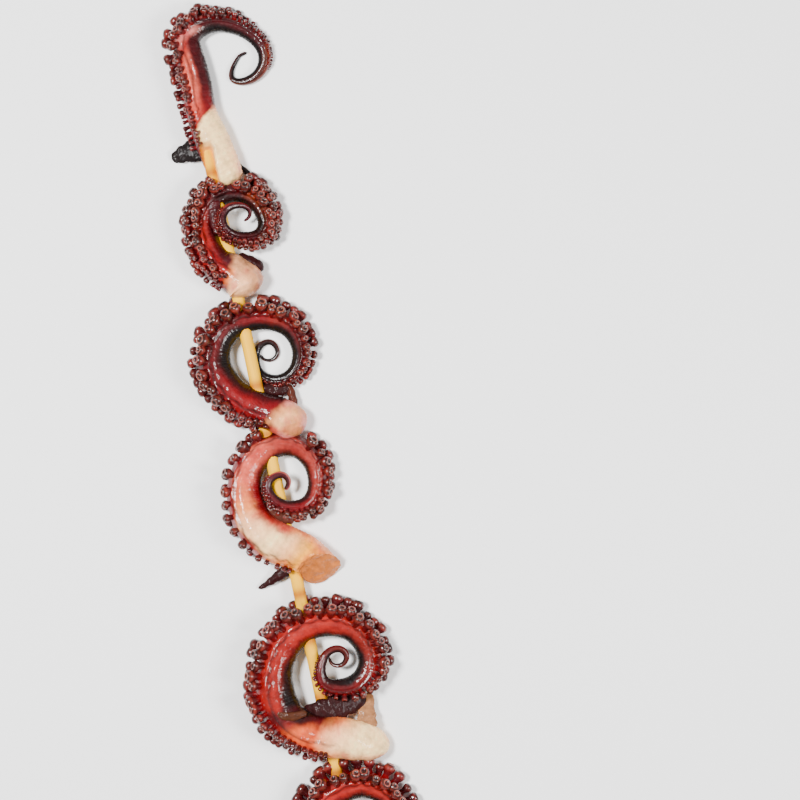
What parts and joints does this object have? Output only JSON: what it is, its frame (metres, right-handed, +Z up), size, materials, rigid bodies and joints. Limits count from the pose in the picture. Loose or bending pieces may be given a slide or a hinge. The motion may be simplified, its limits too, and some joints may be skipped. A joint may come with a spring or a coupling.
{
  "type": "squid skewer",
  "caption": "Cooked squid arms curled into coils with suckers on their outer side, threaded on a thin pointed bamboo stick and lying flat.",
  "frame": {"origin": "on the floor, under the middle of the whole skewer's bounding box", "axes": "+Y along the stick towards its point, +Z up through the shown side, +X to the right when seen from above"},
  "size_m": [0.0618, 0.4466, 0.0162],
  "materials": {
    "bamboo": "dry, smooth, with fine grain along the stick",
    "flesh_coral": "wet and glossy",
    "flesh_maroon": "wet and glossy",
    "flesh_red": "wet and glossy",
    "flesh_peach": "wet and glossy",
    "flesh_orange": "wet and glossy"
  },
  "bodies": {
    "root": {"stick": "bamboo", "arm_1": "flesh_coral", "arm_2": "flesh_maroon", "arm_3": "flesh_red", "arm_4": "flesh_peach", "arm_5": "flesh_orange", "arm_6": "flesh_orange"}
  },
  "joints": []
}
